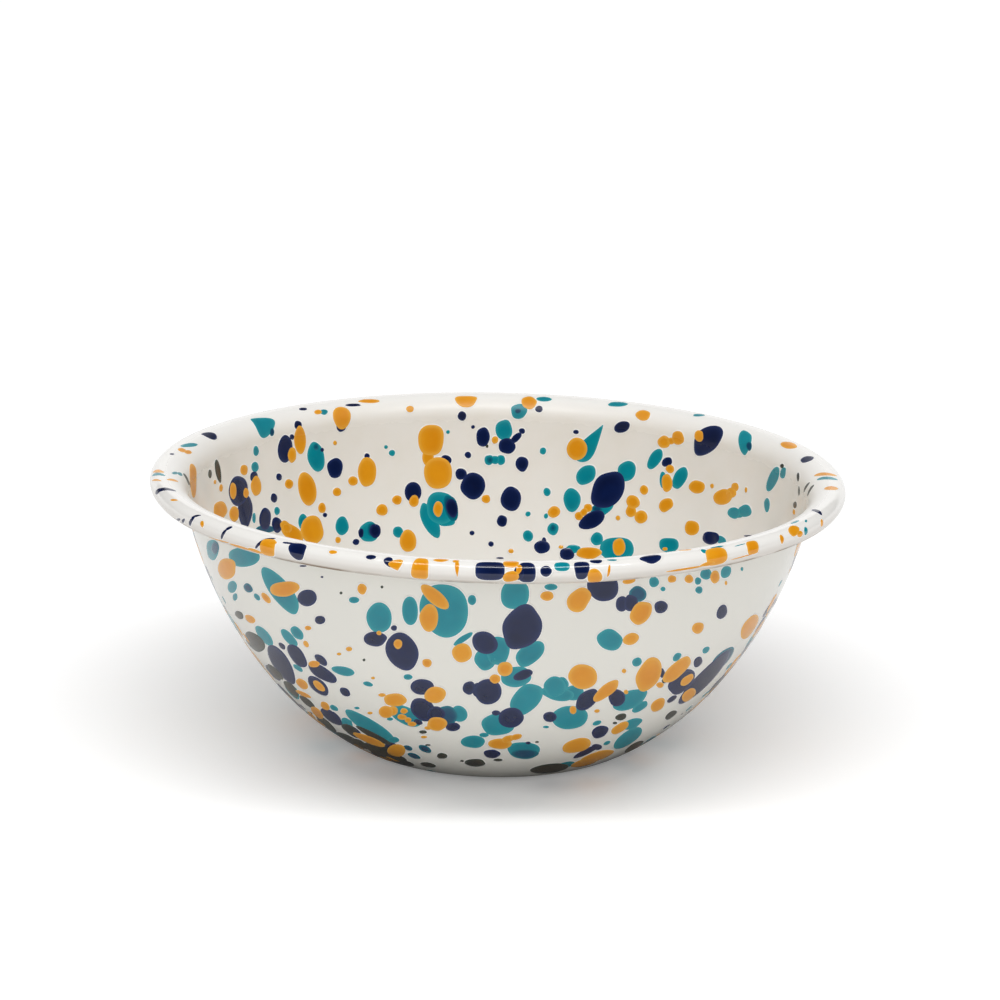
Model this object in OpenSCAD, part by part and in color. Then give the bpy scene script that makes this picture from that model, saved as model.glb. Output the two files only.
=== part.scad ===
// Enamelled steel serving bowl with a rolled rim and splattered enamel drops.
// The bowl stands on the plane z = 0 with its axis along +Z, and every size is in millimetres.
// One pressed sheet is covered, on both faces, by a ground coat, a cover coat and coloured drops.

/* [Bowl] */
// Outside diameter over the rolled rim
rim_d = 254; // [236:1:300]
// Height from the table to the top of the rim
bowl_h = 101; // [86:0.5:116]
// Outside diameter of the flat ring that the bowl stands on
foot_d = 102; // [84:1:118]
// Outside radius of the bend between the foot and the wall
foot_bend_r = 12; // [8:0.5:18]
// Slope of the wall where it leaves the foot bend, in degrees above level
foot_slope = 31; // [25:1:37]
// Slope of the wall where the lip begins, in degrees above level
lip_slope = 79.5; // [76:0.5:84]
// Degrees by which the wall's two arcs meet below the slope of the line from foot bend to lip
join_drop = 5.7; // [3:0.1:8]

/* [Rolled rim] */
// Outside diameter of the hollow roll
roll_d = 7.3; // [6.4:0.1:9]
// Radius of the bend over which the wall turns outward into the roll
lip_bend_r = 10; // [8.5:0.1:13]
// Gap between the tucked edge of the roll and the wall
seam_gap = 0.2; // [0.1:0.05:0.4]

/* [Base] */
// Width of the flat ring that touches the table
foot_ring_w = 9; // [6:0.5:14]
// Height of the raised middle of the base above the table
base_lift = 1.2; // [0.6:0.1:2]
// Radius of the two soft bends that raise the middle
base_bend_r = 7; // [5:0.5:10]

/* [Sheet and enamel] */
// Thickness of the pressed steel
sheet_t = 0.8; // [0.6:0.05:1]
// Thickness of the dark ground coat on each face
ground_t = 0.15; // [0.1:0.01:0.2]
// Thickness of the cream cover coat on each face
cover_t = 0.2; // [0.15:0.01:0.3]

/* [Splatter] */
// Height of a fused drop above the cover coat
drop_t = 0.25; // [0.15:0.01:0.4]
// Diameter of the largest drop
drop_d = 20; // [12:0.5:21]
// Number of drops on the outside of the wall
outer_drops = 116; // [40:1:120]
// Number of drops on the inside of the wall
inner_drops = 100; // [40:1:104]
// Number of drops on the raised middle of the base, on each face
base_drops = 11; // [5:1:12]
// Number of dashes on the rolled rim
rim_drops = 45; // [20:1:52]
// Width of a dash on the roll
rim_dash_w = 4.6; // [3:0.1:5]
// Length of the longest dash on the roll
rim_dash_l = 11; // [6:0.5:13]

/* [Colours] */
// Bare steel
steel_colour = "#8a8d90";
// Ground coat
ground_colour = "#23262b";
// Cover coat
cream_colour = "#ece6da";
// First drop colour
teal_colour = "#1b8f97";
// Second drop colour
mustard_colour = "#e29f2c";
// Third drop colour
navy_colour = "#222650";

/* [Hidden] */

// Depths of the layers, counted from the inside face of the bowl through the wall
cream_in = cover_t;
ground_in = cream_in + ground_t;
steel_out = ground_in + sheet_t;
ground_out = steel_out + ground_t;
wall_t = ground_out + cover_t;

// Direction of a wall point seen from the centre of its arc, for a slope in degrees
function out_dir(slope) = [sin(slope), -cos(slope)];

// Roll and lip: the lip bend and the roll share the vertical line at roll_x
roll_r = roll_d / 2;
roll_x = rim_d / 2 - drop_t - roll_r;
roll_c = [roll_x, bowl_h - drop_t - roll_r];
lip_c = [roll_x, bowl_h - drop_t - lip_bend_r];
lip_under_r = lip_bend_r - wall_t;
lip_end = lip_c - lip_under_r * out_dir(lip_slope);

// Angle at which the roll comes back to the underside of the lip, seen from the roll's centre
roll_drop = lip_bend_r - roll_r;
seam_up = (pow(lip_under_r, 2) - pow(roll_r, 2) - pow(roll_drop, 2)) / (2 * roll_drop);
seam_turn = 180 - asin(seam_up / roll_r);
tuck_turn = seam_turn + 2 * asin(seam_gap / roll_d);
// Where the outside coats stop on the lip's underside, seen from the lip's centre
coat_end_turn = 90 + asin(roll_r * abs(cos(seam_turn)) / lip_under_r);

// Foot: flat ring, then the bend up to the wall
foot_r = foot_d / 2;
foot_c = [foot_r, foot_bend_r];
foot_end = foot_c + foot_bend_r * out_dir(foot_slope);

// The wall is two arcs that meet with one slope. Their radii follow from where they start and end.
chord = lip_end - foot_end;
join_slope = atan2(chord.y, chord.x) - join_drop;
low_step = out_dir(join_slope) - out_dir(foot_slope);
high_step = out_dir(lip_slope) - out_dir(join_slope);
step_det = low_step.x * high_step.y - high_step.x * low_step.y;
low_r = (chord.x * high_step.y - high_step.x * chord.y) / step_det;
high_r = (low_step.x * chord.y - chord.x * low_step.y) / step_det;
low_c = foot_end - low_r * out_dir(foot_slope);
high_c = lip_end - high_r * out_dir(lip_slope);
join_z = (low_c + low_r * out_dir(join_slope)).y;

// Raised middle of the base: two equal bends, one up from the ring and one back to level
ring_in_x = foot_r - foot_ring_w;
rise_turn = acos(1 - base_lift / (2 * base_bend_r + wall_t));
rise_run = (2 * base_bend_r + wall_t) * sin(rise_turn);
middle_x = ring_in_x - rise_run;
rise_c = [ring_in_x, base_bend_r + wall_t];
level_c = [middle_x, base_lift - base_bend_r];

// Fineness: fragments of a full turn, and the largest step along an arc in degrees
turn_fn = 180;
wall_step = 2.5;
bend_step = 8;
drop_fn = 24;

// Points along an arc after its first one, so that arcs can be joined end to end
function arc(centre, r, from_turn, to_turn, step) =
    let (parts = ceil(abs(to_turn - from_turn) / step))
    [for (i = [1 : parts])
        let (turn = from_turn + (to_turn - from_turn) * i / parts)
        centre + r * [cos(turn), sin(turn)]];

// Slopes at which the two wall arcs are divided
function slopes(from_slope, to_slope) =
    let (parts = ceil((to_slope - from_slope) / wall_step))
    [for (i = [1 : parts]) from_slope + (to_slope - from_slope) * i / parts];
wall_slopes = concat(slopes(foot_slope, join_slope), slopes(join_slope, lip_slope));

// Point of the wall at a depth under the inside face, where the wall has a slope
function wall_point(slope, depth) = slope < join_slope
    ? low_c + (low_r - wall_t + depth) * out_dir(slope)
    : high_c + (high_r - wall_t + depth) * out_dir(slope);

// Face of the base, wall and lip at a depth, from the axis to a turn round the lip's centre
function bowl_face(depth, lip_turn) = concat(
    [[0, base_lift + wall_t - depth], [middle_x, base_lift + wall_t - depth]],
    arc(level_c, base_bend_r + wall_t - depth, 90, 90 - rise_turn, bend_step),
    arc(rise_c, base_bend_r + depth, 270 - rise_turn, 270, bend_step),
    [[foot_r, wall_t - depth]],
    arc(foot_c, foot_bend_r - wall_t + depth, 270, 270 + foot_slope, bend_step),
    [for (slope = wall_slopes) wall_point(slope, depth)],
    arc(lip_c, lip_bend_r - depth, 90 + lip_slope, lip_turn, bend_step));

// Face of the roll at a depth, from its top round to the tucked edge
function roll_face(depth) = arc(roll_c, roll_r - depth, 90, tuck_turn - 360, bend_step);

function backward(list) = [for (i = [len(list) - 1 : -1 : 0]) list[i]];

// The layer between two faces, turned about the axis
module layer(near_face, far_face) {
    rotate_extrude($fn = turn_fn)
        polygon(concat(near_face, backward(far_face)));
}

// A layer of the inside face also goes round the roll
module inside_layer(near, far) {
    layer(concat(bowl_face(near, 90), roll_face(near)), concat(bowl_face(far, 90), roll_face(far)));
}

// A layer of the outside face stops where the roll's edge tucks in
module outside_layer(near, far) {
    layer(bowl_face(near, coat_end_turn), bowl_face(far, coat_end_turn));
}

module steel_bowl() {
    color(steel_colour) inside_layer(ground_in, steel_out);
}

module ground_coat_inside() {
    color(ground_colour) inside_layer(cream_in, ground_in);
}

module ground_coat_outside() {
    color(ground_colour) outside_layer(steel_out, ground_out);
}

module cream_coat_inside() {
    color(cream_colour) inside_layer(0, cream_in);
}

module cream_coat_outside() {
    color(cream_colour) outside_layer(ground_out, wall_t);
}

// Splatter. Drops follow a spiral with the golden angle between neighbours, in equal steps of height,
// which spreads them evenly over the round wall. Each drop's colour and size come from short lists.
golden_turn = 180 * (3 - sqrt(5));
colour_order = [0, 1, 2, 0, 2, 1, 1, 0, 2, 1];
size_shares = [0.94, 0.5, 0.7, 0.36, 0.82, 0.56, 0.66, 0.42, 0.9, 0.52, 0.76];
width_shares = [0.9, 0.72, 1, 0.8, 0.66, 0.86, 0.76];
tilt_turns = [0, 70, 35, 120, 160, 95, 15, 140, 50];
band_low_share = 0.06;
band_high_share = 0.9;
base_drop_share = 0.7;
base_drop_d = drop_d * base_drop_share;
drop_reach = 2;

function pick(list, i) = list[i % len(list)];

// Degrees that a length takes up on an arc
function degrees(length, r) = length / r * 180 / PI;

// Slope of the outside wall at height z
function slope_at(z) = z < join_z ? acos((low_c.y - z) / low_r) : acos((high_c.y - z) / high_r);

// Outline of a drop or dash: two round ends, as wide as it is, joined by straight flanks
module drop_shape(length, width) {
    hull_run = length - width;
    union() {
        translate([-hull_run / 2, 0]) circle(d = width, $fn = drop_fn);
        if (hull_run > 0) {
            translate([hull_run / 2, 0]) circle(d = width, $fn = drop_fn);
            square([hull_run, width], center = true);
        }
    }
}

// One drop: the stretch of a thin layer on the wall that lies inside the drop's outline
module wall_drop(slope, near, far, length, width, tilt) {
    place = wall_point(slope, near);
    half_turn = degrees(length / 2 + drop_reach, place.x);
    half_slope = degrees(length / 2 + drop_reach, low_r) + wall_step;
    strip = [for (s = wall_slopes) if (abs(s - slope) < half_slope) s];
    intersection() {
        rotate([0, 0, -half_turn])
            rotate_extrude(angle = 2 * half_turn, $fn = turn_fn)
                polygon(concat(
                    [for (s = strip) wall_point(s, near)],
                    backward([for (s = strip) wall_point(s, far)])));
        translate([place.x, 0, place.y])
            rotate([0, 180 - slope, 0])
                rotate([0, 0, tilt])
                    translate([0, 0, -drop_reach])
                        linear_extrude(2 * drop_reach)
                            drop_shape(length, width);
    }
}

// All drops of one colour on one face of the wall
module wall_drops(colour, count, near, far) {
    rise = lip_end.y - foot_end.y;
    band_low = foot_end.y + rise * band_low_share;
    band_high = foot_end.y + rise * band_high_share;
    for (i = [0 : count - 1])
        if (pick(colour_order, i) == colour) {
            slope = slope_at(band_low + (band_high - band_low) * (i + 0.5) / count);
            length = drop_d * pick(size_shares, i);
            rotate([0, 0, i * golden_turn])
                wall_drop(slope, near, far, length, length * pick(width_shares, i), pick(tilt_turns, i));
        }
}

// Drops of one colour on the raised middle of the base, with their lower face at height z
module floor_drops(colour, z) {
    spread = middle_x - base_drop_d / 2;
    for (i = [0 : base_drops - 1])
        if (pick(colour_order, i) == colour) {
            length = base_drop_d * pick(size_shares, i);
            rotate([0, 0, i * golden_turn])
                translate([spread * sqrt((i + 0.5) / base_drops), 0, z])
                    rotate([0, 0, pick(tilt_turns, i)])
                        linear_extrude(drop_t)
                            drop_shape(length, length * pick(width_shares, i));
        }
}

module inside_drops(colour) {
    wall_drops(colour, inner_drops, -drop_t, 0);
    floor_drops(colour, base_lift + wall_t);
}

module outside_drops(colour) {
    wall_drops(colour, outer_drops, wall_t, wall_t + drop_t);
    floor_drops(colour, base_lift - drop_t);
}

// Dashes on the roll lie along the rim, on its top or its outer side
dash_turns = [62, 20, 84, 40, 5, 70, 30];
dash_shares = [0.55, 1, 0.62, 0.8, 0.5, 0.9, 0.7];
dash_width_shares = [1, 0.7, 0.9, 0.6, 0.8];

// One dash: the stretch of a thin layer on the roll that lies inside the dash's outline
module rim_dash(turn, length, width) {
    half_turn = degrees(length / 2 + drop_reach, roll_c.x);
    intersection() {
        rotate([0, 0, -half_turn])
            rotate_extrude(angle = 2 * half_turn, $fn = turn_fn)
                polygon(concat(roll_face(0), backward(roll_face(-drop_t))));
        translate([roll_c.x, 0, roll_c.y])
            rotate([0, 90 - turn, 0])
                linear_extrude(roll_r + drop_reach)
                    rotate([0, 0, 90])
                        drop_shape(length, width);
    }
}

module rim_dashes(colour) {
    for (i = [0 : rim_drops - 1])
        if (pick(colour_order, i) == colour) {
            length = rim_dash_l * pick(dash_shares, i);
            rotate([0, 0, i * 360 / rim_drops])
                rim_dash(pick(dash_turns, i), length, rim_dash_w * pick(dash_width_shares, i));
        }
}

module teal_drops_inside() { color(teal_colour) inside_drops(0); }
module mustard_drops_inside() { color(mustard_colour) inside_drops(1); }
module navy_drops_inside() { color(navy_colour) inside_drops(2); }
module teal_drops_outside() { color(teal_colour) outside_drops(0); }
module mustard_drops_outside() { color(mustard_colour) outside_drops(1); }
module navy_drops_outside() { color(navy_colour) outside_drops(2); }
module teal_rim_dashes() { color(teal_colour) rim_dashes(0); }
module mustard_rim_dashes() { color(mustard_colour) rim_dashes(1); }
module navy_rim_dashes() { color(navy_colour) rim_dashes(2); }

steel_bowl();
ground_coat_inside();
ground_coat_outside();
cream_coat_inside();
cream_coat_outside();
teal_drops_inside();
mustard_drops_inside();
navy_drops_inside();
teal_drops_outside();
mustard_drops_outside();
navy_drops_outside();
teal_rim_dashes();
mustard_rim_dashes();
navy_rim_dashes();
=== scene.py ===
# %% [markdown]
# A serving bowl in enamelled steel, cream with splattered drops in teal, mustard and navy.
#
# The real bowl is one pressed sheet of steel. Enamel is coloured glass: it is put on as a wet slip,
# dried and fired until it melts into a hard gloss. The cream coat covers the whole sheet, and the
# drops are flung on before the last firing, so they melt into it and stand only a hair above it.
#
# The steel and the dark ground coat come from the CAD frame. This script makes what shows: one smooth
# skin of cream enamel, thousands of drops that follow its curve, their finishes and the studio.
# %% Load the frame
import math
import random

import bpy
from mathutils import Euler, Matrix, Vector
from mathutils.bvhtree import BVHTree


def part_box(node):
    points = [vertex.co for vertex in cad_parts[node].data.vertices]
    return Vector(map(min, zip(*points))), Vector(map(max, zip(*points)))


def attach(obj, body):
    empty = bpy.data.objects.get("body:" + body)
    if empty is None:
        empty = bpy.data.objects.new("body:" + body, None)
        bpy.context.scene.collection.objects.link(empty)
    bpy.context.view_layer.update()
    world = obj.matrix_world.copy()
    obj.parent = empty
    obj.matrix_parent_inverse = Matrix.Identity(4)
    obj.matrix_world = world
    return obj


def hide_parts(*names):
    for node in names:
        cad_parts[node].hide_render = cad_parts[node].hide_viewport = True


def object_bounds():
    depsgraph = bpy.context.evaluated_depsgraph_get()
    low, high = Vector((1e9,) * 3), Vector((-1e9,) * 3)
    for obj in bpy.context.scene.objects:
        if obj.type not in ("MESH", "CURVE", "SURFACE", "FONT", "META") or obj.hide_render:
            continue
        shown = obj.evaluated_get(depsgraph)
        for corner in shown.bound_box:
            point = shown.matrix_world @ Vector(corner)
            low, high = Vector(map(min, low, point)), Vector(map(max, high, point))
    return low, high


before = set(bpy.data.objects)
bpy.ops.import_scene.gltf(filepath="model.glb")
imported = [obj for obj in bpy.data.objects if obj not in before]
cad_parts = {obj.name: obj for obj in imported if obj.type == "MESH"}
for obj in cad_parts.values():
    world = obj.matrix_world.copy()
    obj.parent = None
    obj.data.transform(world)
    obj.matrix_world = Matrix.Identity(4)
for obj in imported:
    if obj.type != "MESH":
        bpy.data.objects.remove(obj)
MM = 0.001
cad_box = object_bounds()
coat_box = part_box("cream_coat_inside")
print("nodes in the frame:", len(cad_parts))
print("cream coat reaches", [round(c / MM, 2) for c in coat_box[1]], "mm")

# %% [markdown]
# The camera comes first, because the drops on the photographed side are placed by looking through it.
#
# A bowl seen from the front gives its camera away: the rim is an ellipse whose height tells how far
# down the camera looks, and the wall's outline tells how strong the perspective is. A long lens about
# a metre away fits both. The photographed rim leans by a little over a degree, so the camera rolls.
# %% Camera
PHOTO_SIZE = 1000
SENSOR_MM = 36.0
LENS_MM = 98.4
CAMERA_DISTANCE = 1.016
CAMERA_ELEVATION = math.radians(17.12)
LOOK_DOWN = math.radians(15.06)
LOOK_RIGHT = math.radians(0.055)
CAMERA_ROLL = math.radians(1.22)

bowl_h = cad_box[1][2]
camera_data = bpy.data.cameras.new("photo_camera")
camera_data.lens = LENS_MM
camera_data.sensor_width = SENSOR_MM
camera = bpy.data.objects.new("photo_camera", camera_data)
bpy.context.scene.collection.objects.link(camera)
camera_place = Vector((
    0,
    -CAMERA_DISTANCE * math.cos(CAMERA_ELEVATION),
    bowl_h / 2 + CAMERA_DISTANCE * math.sin(CAMERA_ELEVATION)))
looks_along = Euler((math.pi / 2 - LOOK_DOWN, 0, -LOOK_RIGHT)).to_matrix()
camera_turn = looks_along @ Matrix.Rotation(CAMERA_ROLL, 3, "Z")
camera.matrix_world = Matrix.Translation(camera_place) @ camera_turn.to_4x4()
bpy.context.scene.camera = camera
print("camera at", [round(c, 3) for c in camera_place])

# %% Between the photograph's pixels and space
FOCAL_PX = LENS_MM / SENSOR_MM * PHOTO_SIZE


def pixel_ray(x, y):
    """Direction in which the camera sees a pixel of the photograph."""
    half = PHOTO_SIZE / 2
    return (camera_turn @ Vector((x - half, half - y, -FOCAL_PX))).normalized()


def pixel_of(point):
    """Pixel of the photograph at which a point in space is seen."""
    seen = camera_turn.transposed() @ (point - camera_place)
    half = PHOTO_SIZE / 2
    return Vector((half - FOCAL_PX * seen.x / seen.z, half + FOCAL_PX * seen.y / seen.z))


print("axis at mid height is seen at", [round(c, 1) for c in pixel_of(Vector((0, 0, bowl_h / 2)))])

# %% [markdown]
# The bowl's profile is the same chain of arcs as in the CAD model: a raised middle, a flat foot ring,
# the foot bend, two wall arcs that meet with one slope, the lip bend and the roll.
#
# A profile like this could be a spline through a few points, but pressed steel really has arcs, and
# arcs let every later step ask for a point and its normal. Here one path runs all the way round the
# skin: from the middle of the inside, up the wall, over the lip, round the roll, and down the outside
# to the middle of the base. Sizes are in millimetres, the same as the CAD's.
# %% Sizes of the profile
FOOT_D = 102.0
FOOT_BEND_R = 12.0
FOOT_RING_W = 9.0
FOOT_SLOPE = math.radians(31.0)
LIP_SLOPE = math.radians(79.5)
JOIN_DROP = math.radians(5.7)
ROLL_D = 7.3
LIP_BEND_R = 10.0
BASE_LIFT = 1.2
BASE_BEND_R = 7.0
WALL_T = 1.5
SEAM_FILLET_R = 0.5

rim_r = coat_box[1].x / MM
coat_top = coat_box[1].z / MM
roll_r = ROLL_D / 2


def out_dir(slope):
    """Direction from an arc's centre to the point of the outside wall that has a slope."""
    return Vector((math.sin(slope), -math.cos(slope)))


roll_c = Vector((rim_r - roll_r, coat_top - roll_r))
lip_c = Vector((roll_c.x, coat_top - LIP_BEND_R))
lip_under_r = LIP_BEND_R - WALL_T
lip_end = lip_c - lip_under_r * out_dir(LIP_SLOPE)
foot_c = Vector((FOOT_D / 2, FOOT_BEND_R))
foot_end = foot_c + FOOT_BEND_R * out_dir(FOOT_SLOPE)

# %% The two wall arcs
chord = lip_end - foot_end
join_slope = math.atan2(chord.y, chord.x) - JOIN_DROP
low_step = out_dir(join_slope) - out_dir(FOOT_SLOPE)
high_step = out_dir(LIP_SLOPE) - out_dir(join_slope)
low_r = chord.cross(high_step) / low_step.cross(high_step)
high_r = low_step.cross(chord) / low_step.cross(high_step)
low_c = foot_end - low_r * out_dir(FOOT_SLOPE)
high_c = lip_end - high_r * out_dir(LIP_SLOPE)
print("wall arcs of", round(low_r, 1), "and", round(high_r, 1), "mm")

# %% Raised middle of the base, and the enamel that fills the seam under the roll
bend_sum = 2 * BASE_BEND_R + WALL_T
rise_turn = math.acos(1 - BASE_LIFT / bend_sum)
ring_in_x = FOOT_D / 2 - FOOT_RING_W
middle_x = ring_in_x - bend_sum * math.sin(rise_turn)
rise_c = Vector((ring_in_x, BASE_BEND_R + WALL_T))
level_c = Vector((middle_x, BASE_LIFT - BASE_BEND_R))

# The fillet's circle touches the roll from outside and the lip's underside from inside
fillet_to_roll = roll_r + SEAM_FILLET_R
fillet_to_lip = lip_under_r - SEAM_FILLET_R
centre_gap = roll_c.y - lip_c.y
fillet_up = (fillet_to_lip ** 2 - fillet_to_roll ** 2 - centre_gap ** 2) / (2 * centre_gap)
fillet_c = roll_c + Vector((-math.sqrt(fillet_to_roll ** 2 - fillet_up ** 2), fillet_up))
print("seam fillet at radius", round(fillet_c.x, 2), "and height", round(fillet_c.y, 2), "mm")

# %% The path round the skin
FINE_STEP = 1.0
FINE_TURN = math.radians(3)


def arc(centre, radius, start, end):
    """Points along an arc after its first one. Turns are counted from +X towards +Z."""
    length = abs(end - start)
    parts = max(2, math.ceil(length / FINE_TURN), math.ceil(length * radius / FINE_STEP))
    turns = [start + (end - start) * i / parts for i in range(1, parts + 1)]
    return [centre + radius * Vector((math.cos(t), math.sin(t))) for t in turns]


def line(start, end):
    """Points along a straight stretch after its first one."""
    parts = max(1, math.ceil((end - start).length / FINE_STEP))
    return [start.lerp(end, i / parts) for i in range(1, parts + 1)]


DOWN = math.radians(270)
UP = math.radians(90)


def turn_to(centre, point):
    """Turn at which a point lies, seen from a centre."""
    return math.atan2(point.y - centre.y, point.x - centre.x)


def base_and_wall(depth):
    """Half of the path: from the axis to the top of the wall, at a depth under the inside face."""
    level = BASE_LIFT + WALL_T - depth
    points = [Vector((0, level))] + line(Vector((0, level)), Vector((middle_x, level)))
    points += arc(level_c, BASE_BEND_R + WALL_T - depth, UP, UP - rise_turn)
    points += arc(rise_c, BASE_BEND_R + depth, DOWN - rise_turn, DOWN)
    points += line(Vector((ring_in_x, WALL_T - depth)), Vector((FOOT_D / 2, WALL_T - depth)))
    points += arc(foot_c, FOOT_BEND_R - WALL_T + depth, DOWN, DOWN + FOOT_SLOPE)
    points += arc(low_c, low_r - WALL_T + depth, DOWN + FOOT_SLOPE, DOWN + join_slope)
    points += arc(high_c, high_r - WALL_T + depth, DOWN + join_slope, DOWN + LIP_SLOPE)
    return points


inside = base_and_wall(0) + arc(lip_c, LIP_BEND_R, UP + LIP_SLOPE, UP)
roll_end = turn_to(roll_c, fillet_c) - 2 * math.pi
roll = arc(roll_c, roll_r, UP, roll_end)
fillet_start = turn_to(fillet_c, roll_c)
fillet_stop = turn_to(lip_c, fillet_c)
seam = arc(fillet_c, SEAM_FILLET_R, fillet_start, fillet_stop)
lip_under = arc(lip_c, lip_under_r, fillet_stop, UP + LIP_SLOPE)
outside = lip_under + list(reversed(base_and_wall(WALL_T)))[1:]
path = inside + roll + seam + outside
print("points round the skin:", len(path))

# %% Ask the skin for a point and its normal
reach = [0.0]
for before, after in zip(path, path[1:]):
    reach.append(reach[-1] + (after - before).length)
LIP_TOP = reach[len(inside) - 1]
ROLL_END = reach[len(inside) + len(roll) - 1]
OUTSIDE_START = reach[len(inside) + len(roll) + len(seam) - 1]
SKIN_END = reach[-1]
RING_CLEAR = 0.08
on_table = [r for r, p in zip(reach, path) if r > OUTSIDE_START and p.y < RING_CLEAR]
RING_START, RING_STOP = on_table[0], on_table[-1]

tangents = [(after - before).normalized() for before, after in zip(path, path[1:])]
tangents = [tangents[0]] + [(a + b).normalized() for a, b in zip(tangents, tangents[1:])] + [tangents[-1]]


def skin_at(s):
    """Radius and height on the skin, and the outward normal there, s mm along the path."""
    s = min(max(s, 0.0), SKIN_END)
    low, high = 0, len(reach) - 1
    while high - low > 1:
        middle = (low + high) // 2
        low, high = (middle, high) if reach[middle] <= s else (low, middle)
    share = (s - reach[low]) / (reach[high] - reach[low])
    tangent = tangents[low].lerp(tangents[high], share).normalized()
    return path[low].lerp(path[high], share), Vector((-tangent.y, tangent.x))


def on_skin(s, turn, lift=0.0):
    """Point in space, in metres, at s mm along the path, turned about the axis, lifted off the skin."""
    place, normal = skin_at(s)
    r, z = place + normal * lift
    return Vector((r * math.cos(turn), r * math.sin(turn), z)) * MM


print("path in mm: lip top", round(LIP_TOP, 1), "roll end", round(ROLL_END, 1), "whole", round(SKIN_END, 1))

# %% [markdown]
# The cream coat is the skin that this path sweeps about the axis.
#
# A Screw modifier would turn a profile too, but building the rings in code keeps one vertex at each
# pole, and keeps the faces in a known order, which the drops use later to find their place. The skin
# closes over the steel on both sides, so it is one watertight shell, as the real coat is.
# %% Cream enamel skin
TURN_STEPS = 384


def make_object(name, vertices, faces):
    """A smooth-shaded mesh object in the scene."""
    mesh = bpy.data.meshes.new(name)
    mesh.from_pydata([tuple(v) for v in vertices], [], faces)
    mesh.polygons.foreach_set("use_smooth", [True] * len(mesh.polygons))
    mesh.update()
    made = bpy.data.objects.new(name, mesh)
    bpy.context.scene.collection.objects.link(made)
    return made


def turned_skin():
    """Vertices and faces of the path swept about the axis, ring by ring."""
    rings = path[1:-1]
    vertices = [Vector((0, 0, path[0].y)) * MM]
    for p in rings:
        for k in range(TURN_STEPS):
            turn = 2 * math.pi * k / TURN_STEPS
            vertices.append(Vector((p.x * math.cos(turn), p.x * math.sin(turn), p.y)) * MM)
    vertices.append(Vector((0, 0, path[-1].y)) * MM)
    last = len(vertices) - 1
    faces = [(0, 1 + k, 1 + (k + 1) % TURN_STEPS) for k in range(TURN_STEPS)]
    for j in range(len(rings) - 1):
        for k in range(TURN_STEPS):
            a = 1 + j * TURN_STEPS + k
            b = 1 + j * TURN_STEPS + (k + 1) % TURN_STEPS
            faces.append((a, a + TURN_STEPS, b + TURN_STEPS, b))
    base = 1 + (len(rings) - 1) * TURN_STEPS
    return vertices, faces + [(base + k, last, base + (k + 1) % TURN_STEPS) for k in range(TURN_STEPS)]


skin_vertices, skin_faces = turned_skin()
cream_enamel = make_object("cream_enamel", skin_vertices, skin_faces)
inner_rings = sum(1 for r in reach[1:-1] if r < LIP_TOP)
outer_face = [0.0] * (1 + inner_rings * TURN_STEPS)
outer_face += [1.0] * (len(skin_vertices) - len(outer_face))
cream_enamel.data.attributes.new("outer_face", "FLOAT", "POINT").data.foreach_set("value", outer_face)
skin_tree = BVHTree.FromPolygons(skin_vertices, skin_faces)
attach(cream_enamel, "root")
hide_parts("cream_coat_inside", "cream_coat_outside")
print("skin faces:", len(skin_faces))

# %% [markdown]
# A splattered drop lands as a round or stretched patch and melts into the coat. Its top is level, its
# edge is a soft step about as thick as paper, and the pigment is a little thinner there.
#
# Painting the drops into the cream's colour would need a picture or a very dense mesh. Each drop is
# instead its own thin closed lens: rings of points laid along the skin and lifted off it, with a
# second layer just under the skin. Its outline is an ellipse with a slow wobble, which may narrow
# towards one end or be squared. The ellipse is given by two half axes in millimetres on the skin, one
# number along the path and one around the bowl. Where the skin bends sharply, as on the roll, the
# facets are shorter, so that the lens still follows it.
# %% The outline of a drop
WOBBLE = 0.055
WOBBLES_ROUND = (2, 3, 4, 5)
FEWEST_POINTS, MOST_POINTS, FINE_POINTS = 12, 90, 120
POINT_GAP = 0.7
RING_GAP = 1.8
SAG = 0.004
TINY = 0.001


def squarer(value, corner):
    """A sine or cosine pushed outwards, which turns a circle into a rounded square."""
    return math.copysign(abs(value) ** (1 - corner), value)


def facet_gap(s, spread):
    """How long flat facets may be to stay within SAG of the skin's sharpest bend near s."""
    parts = 3
    normals = [skin_at(s + spread * k / parts)[1] for k in range(-parts, parts + 1)]
    turned = max(a.angle(b) for a, b in zip(normals, normals[1:]))
    # A flat facet of length g over a bend of radius r stands g * g / (8 * r) off it
    return RING_GAP if turned == 0 else min(RING_GAP, math.sqrt(8 * SAG * spread / parts / turned))


def evenly(points, count):
    """The same number of millimetres between every two of the points round a closed outline."""
    ring = points + points[:1]
    far = [0.0]
    for before, after in zip(ring, ring[1:]):
        far.append(far[-1] + (after - before).length)
    spaced, k = [], 0
    for i in range(count):
        goal = far[-1] * i / count
        while far[k + 1] < goal:
            k += 1
        spaced.append(ring[k].lerp(ring[k + 1], (goal - far[k]) / max(far[k + 1] - far[k], TINY)))
    return spaced


def outline(s, half_a, half_b, taper, corner, rng):
    """Points round a wobbling ellipse at s, in mm on the skin.

    A taper narrows it towards its first half axis, and a corner above 0 makes it squarer."""
    most = WOBBLE * (1 - 2 * corner)
    parts = [(n, rng.uniform(0, 2 * math.pi), rng.uniform(0, most) * 2 / n) for n in WOBBLES_ROUND]
    points = []
    for k in range(FINE_POINTS):
        t = 2 * math.pi * k / FINE_POINTS
        swell = 1 + sum(size * math.cos(n * t + phase) for n, phase, size in parts)
        a, b = squarer(math.cos(t), corner), squarer(math.sin(t), corner)
        points.append((half_a * a + half_b * b * (1 - taper * a)) * swell)
    length = sum((p - points[k - 1]).length for k, p in enumerate(points))
    gap = min(POINT_GAP, facet_gap(s, max(abs(p.x) for p in points)))
    return evenly(points, min(MOST_POINTS, max(FEWEST_POINTS, round(length / gap))))


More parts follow.
